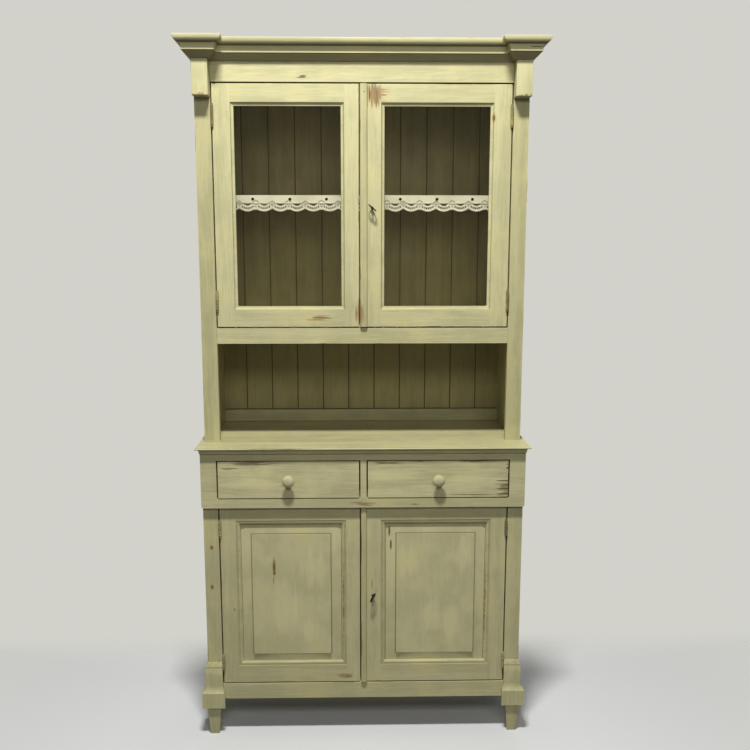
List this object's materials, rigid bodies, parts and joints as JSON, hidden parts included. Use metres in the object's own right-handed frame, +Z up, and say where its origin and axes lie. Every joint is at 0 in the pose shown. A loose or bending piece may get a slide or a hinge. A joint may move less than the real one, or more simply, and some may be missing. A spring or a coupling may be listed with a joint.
{
  "type": "step back cupboard",
  "caption": "Painted pine step back cupboard: a glazed upper cabinet with a heavy cornice over an open niche, on a base with drawers and panelled doors.",
  "frame": {"origin": "on the floor, in the middle of the overall width and depth", "axes": "+Z up, -Y out of the front, +X to the right as seen from the front"},
  "size_m": [1.05, 0.4862, 2.08],
  "materials": {
    "painted_pine": "chalky olive cream paint, brushed by hand, worn to bare pine at the edges",
    "painted_inside": "the same paint, darker and duller inside and on the back boards",
    "painted_knob": "paler cream paint on turned wood",
    "painted_hinge": "cream paint brushed over the hinges",
    "bare_pine": "unpainted aged pine",
    "window_glass": "thin clear window glass",
    "cotton_lace": "off-white cotton lace edging",
    "dark_iron": "dark worn iron"
  },
  "bodies": {
    "root": {"counter_top": "painted_pine", "drawer_frame": "painted_pine", "drawer_deck": "bare_pine", "left_post": "painted_pine", "right_post": "painted_pine", "left_foot": "painted_pine", "right_foot": "painted_pine", "left_base_side": "painted_pine", "right_base_side": "painted_pine", "bottom_rail": "painted_pine", "bottom_board": "painted_inside", "base_back": "painted_inside", "left_upper_side": "painted_pine", "right_upper_side": "painted_pine", "left_corner_block": "painted_pine", "right_corner_block": "painted_pine", "left_cornice_cap": "painted_pine", "right_cornice_cap": "painted_pine", "left_cornice_side": "painted_pine", "right_cornice_side": "painted_pine", "cornice_middle": "painted_pine", "frieze_rail": "painted_pine", "upper_floor": "painted_pine", "upper_shelf": "painted_inside", "upper_back": "painted_inside", "top_board": "painted_inside", "niche_rail": "painted_inside", "lace_edging": "cotton_lace"},
    "upper_left_leaf": {"upper_left_door": "painted_pine", "upper_left_glass": "window_glass", "upper_left_top_hinge": "painted_hinge", "upper_left_bottom_hinge": "painted_hinge"},
    "upper_right_leaf": {"upper_right_door": "painted_pine", "upper_right_glass": "window_glass", "upper_right_top_hinge": "painted_hinge", "upper_right_bottom_hinge": "painted_hinge", "upper_strip": "painted_pine", "upper_lock_case": "dark_iron"},
    "lower_left_leaf": {"lower_left_door": "painted_pine", "lower_left_panel": "painted_pine", "lower_left_top_hinge": "painted_hinge", "lower_left_bottom_hinge": "painted_hinge"},
    "lower_right_leaf": {"lower_right_door": "painted_pine", "lower_right_panel": "painted_pine", "lower_right_top_hinge": "painted_hinge", "lower_right_bottom_hinge": "painted_hinge", "lower_strip": "painted_pine", "lower_lock_case": "dark_iron"},
    "left_drawer": {"left_drawer_front": "painted_pine", "left_drawer_box": "bare_pine", "left_knob": "painted_knob"},
    "right_drawer": {"right_drawer_front": "painted_pine", "right_drawer_box": "bare_pine", "right_knob": "painted_knob"},
    "upper_key_group": {"upper_key": "dark_iron"},
    "upper_lock_slide": {"upper_lock_bolt": "dark_iron"},
    "upper_left_slide": {"upper_left_bolt": "dark_iron"},
    "lower_key_group": {"lower_key": "dark_iron"},
    "lower_lock_slide": {"lower_lock_bolt": "dark_iron"},
    "lower_left_slide": {"lower_left_bolt": "dark_iron"}
  },
  "joints": [
    {"name": "upper_left_door_swing", "type": "hinge", "parent": "root", "child": "upper_left_leaf", "pos_m": [-0.4312, -0.12065, 1.61525], "axis": [0, 0, -1], "range_deg": [0, 100]},
    {"name": "upper_right_door_swing", "type": "hinge", "parent": "root", "child": "upper_right_leaf", "pos_m": [0.4312, -0.12065, 1.61525], "axis": [0, 0, 1], "range_deg": [0, 100]},
    {"name": "lower_left_door_swing", "type": "hinge", "parent": "root", "child": "lower_left_leaf", "pos_m": [-0.4322, -0.19865, 0.451], "axis": [0, 0, -1], "range_deg": [0, 110]},
    {"name": "lower_right_door_swing", "type": "hinge", "parent": "root", "child": "lower_right_leaf", "pos_m": [0.4322, -0.19865, 0.451], "axis": [0, 0, 1], "range_deg": [0, 110]},
    {"name": "left_drawer_run", "type": "slide", "parent": "root", "child": "left_drawer", "axis": [0, -1, 0], "range_m": [0, 0.3]},
    {"name": "right_drawer_run", "type": "slide", "parent": "root", "child": "right_drawer", "axis": [0, -1, 0], "range_m": [0, 0.3]},
    {"name": "upper_key_turn", "type": "hinge", "parent": "upper_right_leaf", "child": "upper_key_group", "pos_m": [0.028, -0.11585, 1.61525], "axis": [0, 1, 0], "range_deg": [0, 180]},
    {"name": "upper_lock_throw", "type": "slide", "parent": "upper_right_leaf", "child": "upper_lock_slide", "axis": [-1, 0, 0], "range_m": [0, 0.011]},
    {"name": "upper_left_bolt_lift", "type": "slide", "parent": "upper_left_leaf", "child": "upper_left_slide", "axis": [0, 0, 1], "range_m": [0, 0.014]},
    {"name": "lower_key_turn", "type": "hinge", "parent": "lower_right_leaf", "child": "lower_key_group", "pos_m": [0.028, -0.19385, 0.451], "axis": [0, 1, 0], "range_deg": [0, 180]},
    {"name": "lower_lock_throw", "type": "slide", "parent": "lower_right_leaf", "child": "lower_lock_slide", "axis": [-1, 0, 0], "range_m": [0, 0.011]},
    {"name": "lower_left_bolt_lift", "type": "slide", "parent": "lower_left_leaf", "child": "lower_left_slide", "axis": [0, 0, 1], "range_m": [0, 0.014]}
  ],
  "couplings": [
    {"joint": "upper_key_turn", "follows": "upper_lock_throw", "rad_per_m": 285.6},
    {"joint": "lower_key_turn", "follows": "lower_lock_throw", "rad_per_m": 285.6}
  ]
}
